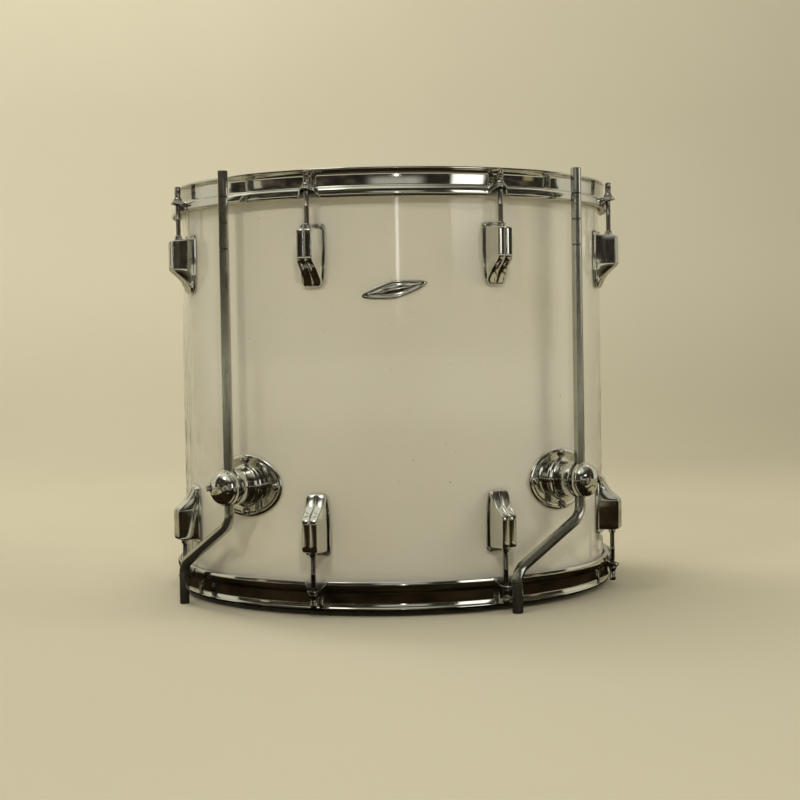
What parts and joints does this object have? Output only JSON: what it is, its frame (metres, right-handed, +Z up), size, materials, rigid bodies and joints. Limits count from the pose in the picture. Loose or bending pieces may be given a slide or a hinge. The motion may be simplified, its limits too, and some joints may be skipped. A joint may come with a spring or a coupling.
{
  "type": "floor tom drum",
  "caption": "Wrapped cylindrical floor tom with tensioned heads in flanged steel hoops, cast lugs and clamped height-adjustable bent hexagonal legs.",
  "frame": {"origin": "centre of the whole drum's footprint, at floor level under the feet of the legs; the shell's own axis stands at y = -17.2 mm", "axes": "+Z up along the shell, -Y towards the front of the drum, which carries the badge midway between the two front legs, and +X towards the leg_right side"},
  "size_m": [0.476, 0.5104, 0.4334],
  "materials": {
    "ply": "satin lacquered ply",
    "wrap": "gloss, slightly aged white covering",
    "head": "coated film",
    "chrome": "bright plate, lightly worn",
    "steel": "plated, dulled",
    "alloy": "plain"
  },
  "bodies": {
    "drum": {"shell": "ply", "wrap": "wrap", "head_top": "head", "flesh_hoop_top": "alloy", "hoop_top": "chrome", "lug_top_1": "chrome", "lug_top_2": "chrome", "lug_top_3": "chrome", "lug_top_4": "chrome", "lug_top_5": "chrome", "lug_top_6": "chrome", "lug_top_7": "chrome", "lug_top_8": "chrome", "head_bottom": "head", "flesh_hoop_bottom": "alloy", "hoop_bottom": "chrome", "lug_bottom_1": "chrome", "lug_bottom_2": "chrome", "lug_bottom_3": "chrome", "lug_bottom_4": "chrome", "lug_bottom_5": "chrome", "lug_bottom_6": "chrome", "lug_bottom_7": "chrome", "lug_bottom_8": "chrome", "bracket_left": "chrome", "bracket_bolts_left": "steel", "bracket_right": "chrome", "bracket_bolts_right": "steel", "bracket_rear": "chrome", "bracket_bolts_rear": "steel", "badge": "chrome"},
    "rod_top_1_body": {"rod_top_1": "steel"},
    "rod_top_2_body": {"rod_top_2": "steel"},
    "rod_top_3_body": {"rod_top_3": "steel"},
    "rod_top_4_body": {"rod_top_4": "steel"},
    "rod_top_5_body": {"rod_top_5": "steel"},
    "rod_top_6_body": {"rod_top_6": "steel"},
    "rod_top_7_body": {"rod_top_7": "steel"},
    "rod_top_8_body": {"rod_top_8": "steel"},
    "rod_bottom_1_body": {"rod_bottom_1": "steel"},
    "rod_bottom_2_body": {"rod_bottom_2": "steel"},
    "rod_bottom_3_body": {"rod_bottom_3": "steel"},
    "rod_bottom_4_body": {"rod_bottom_4": "steel"},
    "rod_bottom_5_body": {"rod_bottom_5": "steel"},
    "rod_bottom_6_body": {"rod_bottom_6": "steel"},
    "rod_bottom_7_body": {"rod_bottom_7": "steel"},
    "rod_bottom_8_body": {"rod_bottom_8": "steel"},
    "clamp_cap_left_body": {"clamp_cap_left": "chrome"},
    "clamp_screw_left_a_body": {"clamp_screw_left_a": "steel"},
    "clamp_screw_left_b_body": {"clamp_screw_left_b": "steel"},
    "leg_left_body": {"leg_left": "chrome"},
    "clamp_cap_right_body": {"clamp_cap_right": "chrome"},
    "clamp_screw_right_a_body": {"clamp_screw_right_a": "steel"},
    "clamp_screw_right_b_body": {"clamp_screw_right_b": "steel"},
    "leg_right_body": {"leg_right": "chrome"},
    "clamp_cap_rear_body": {"clamp_cap_rear": "chrome"},
    "clamp_screw_rear_a_body": {"clamp_screw_rear_a": "steel"},
    "clamp_screw_rear_b_body": {"clamp_screw_rear_b": "steel"},
    "leg_rear_body": {"leg_rear": "chrome"}
  },
  "joints": [
    {"name": "rod_top_1_turn", "type": "hinge", "parent": "drum", "child": "rod_top_1_body", "pos_m": [0.09307, -0.24189, 0.3769], "axis": [0, 0, 1], "continuous": true},
    {"name": "rod_top_2_turn", "type": "hinge", "parent": "drum", "child": "rod_top_2_body", "pos_m": [0.22469, -0.11027, 0.3769], "axis": [0, 0, 1], "continuous": true},
    {"name": "rod_top_3_turn", "type": "hinge", "parent": "drum", "child": "rod_top_3_body", "pos_m": [0.22469, 0.07587, 0.3769], "axis": [0, 0, 1], "continuous": true},
    {"name": "rod_top_4_turn", "type": "hinge", "parent": "drum", "child": "rod_top_4_body", "pos_m": [0.09307, 0.20749, 0.3769], "axis": [0, 0, 1], "continuous": true},
    {"name": "rod_top_5_turn", "type": "hinge", "parent": "drum", "child": "rod_top_5_body", "pos_m": [-0.09307, 0.20749, 0.3769], "axis": [0, 0, 1], "continuous": true},
    {"name": "rod_top_6_turn", "type": "hinge", "parent": "drum", "child": "rod_top_6_body", "pos_m": [-0.22469, 0.07587, 0.3769], "axis": [0, 0, 1], "continuous": true},
    {"name": "rod_top_7_turn", "type": "hinge", "parent": "drum", "child": "rod_top_7_body", "pos_m": [-0.22469, -0.11027, 0.3769], "axis": [0, 0, 1], "continuous": true},
    {"name": "rod_top_8_turn", "type": "hinge", "parent": "drum", "child": "rod_top_8_body", "pos_m": [-0.09307, -0.24189, 0.3769], "axis": [0, 0, 1], "continuous": true},
    {"name": "rod_bottom_1_turn", "type": "hinge", "parent": "drum", "child": "rod_bottom_1_body", "pos_m": [0.09307, -0.24189, 0.0595], "axis": [0, 0, 1], "continuous": true},
    {"name": "rod_bottom_2_turn", "type": "hinge", "parent": "drum", "child": "rod_bottom_2_body", "pos_m": [0.22469, -0.11027, 0.0595], "axis": [0, 0, 1], "continuous": true},
    {"name": "rod_bottom_3_turn", "type": "hinge", "parent": "drum", "child": "rod_bottom_3_body", "pos_m": [0.22469, 0.07587, 0.0595], "axis": [0, 0, 1], "continuous": true},
    {"name": "rod_bottom_4_turn", "type": "hinge", "parent": "drum", "child": "rod_bottom_4_body", "pos_m": [0.09307, 0.20749, 0.0595], "axis": [0, 0, 1], "continuous": true},
    {"name": "rod_bottom_5_turn", "type": "hinge", "parent": "drum", "child": "rod_bottom_5_body", "pos_m": [-0.09307, 0.20749, 0.0595], "axis": [0, 0, 1], "continuous": true},
    {"name": "rod_bottom_6_turn", "type": "hinge", "parent": "drum", "child": "rod_bottom_6_body", "pos_m": [-0.22469, 0.07587, 0.0595], "axis": [0, 0, 1], "continuous": true},
    {"name": "rod_bottom_7_turn", "type": "hinge", "parent": "drum", "child": "rod_bottom_7_body", "pos_m": [-0.22469, -0.11027, 0.0595], "axis": [0, 0, 1], "continuous": true},
    {"name": "rod_bottom_8_turn", "type": "hinge", "parent": "drum", "child": "rod_bottom_8_body", "pos_m": [-0.09307, -0.24189, 0.0595], "axis": [0, 0, 1], "continuous": true},
    {"name": "clamp_cap_left_open", "type": "slide", "parent": "drum", "child": "clamp_cap_left_body", "axis": [-0.6845, -0.729, 0], "range_m": [0, 0.004]},
    {"name": "clamp_screw_left_a_turn", "type": "hinge", "parent": "clamp_cap_left_body", "child": "clamp_screw_left_a_body", "pos_m": [-0.18942, -0.20285, 0.124], "axis": [-0.6845, -0.729, 0], "continuous": true},
    {"name": "clamp_screw_left_b_turn", "type": "hinge", "parent": "clamp_cap_left_body", "child": "clamp_screw_left_b_body", "pos_m": [-0.17339, -0.21791, 0.124], "axis": [-0.6845, -0.729, 0], "continuous": true},
    {"name": "leg_left_height", "type": "slide", "parent": "drum", "child": "leg_left_body", "axis": [0, 0, 1], "range_m": [-0.28, 0.006]},
    {"name": "clamp_cap_right_open", "type": "slide", "parent": "drum", "child": "clamp_cap_right_body", "axis": [0.6845, -0.729, 0], "range_m": [0, 0.004]},
    {"name": "clamp_screw_right_a_turn", "type": "hinge", "parent": "clamp_cap_right_body", "child": "clamp_screw_right_a_body", "pos_m": [0.17339, -0.21791, 0.124], "axis": [0.6845, -0.729, 0], "continuous": true},
    {"name": "clamp_screw_right_b_turn", "type": "hinge", "parent": "clamp_cap_right_body", "child": "clamp_screw_right_b_body", "pos_m": [0.18942, -0.20285, 0.124], "axis": [0.6845, -0.729, 0], "continuous": true},
    {"name": "leg_right_height", "type": "slide", "parent": "drum", "child": "leg_right_body", "axis": [0, 0, 1], "range_m": [-0.28, 0.006]},
    {"name": "clamp_cap_rear_open", "type": "slide", "parent": "drum", "child": "clamp_cap_rear_body", "axis": [0, 1, 0], "range_m": [0, 0.004]},
    {"name": "clamp_screw_rear_a_turn", "type": "hinge", "parent": "clamp_cap_rear_body", "child": "clamp_screw_rear_a_body", "pos_m": [0.011, 0.2478, 0.124], "axis": [0, 1, 0], "continuous": true},
    {"name": "clamp_screw_rear_b_turn", "type": "hinge", "parent": "clamp_cap_rear_body", "child": "clamp_screw_rear_b_body", "pos_m": [-0.011, 0.2478, 0.124], "axis": [0, 1, 0], "continuous": true},
    {"name": "leg_rear_height", "type": "slide", "parent": "drum", "child": "leg_rear_body", "axis": [0, 0, 1], "range_m": [-0.28, 0.006]}
  ]
}
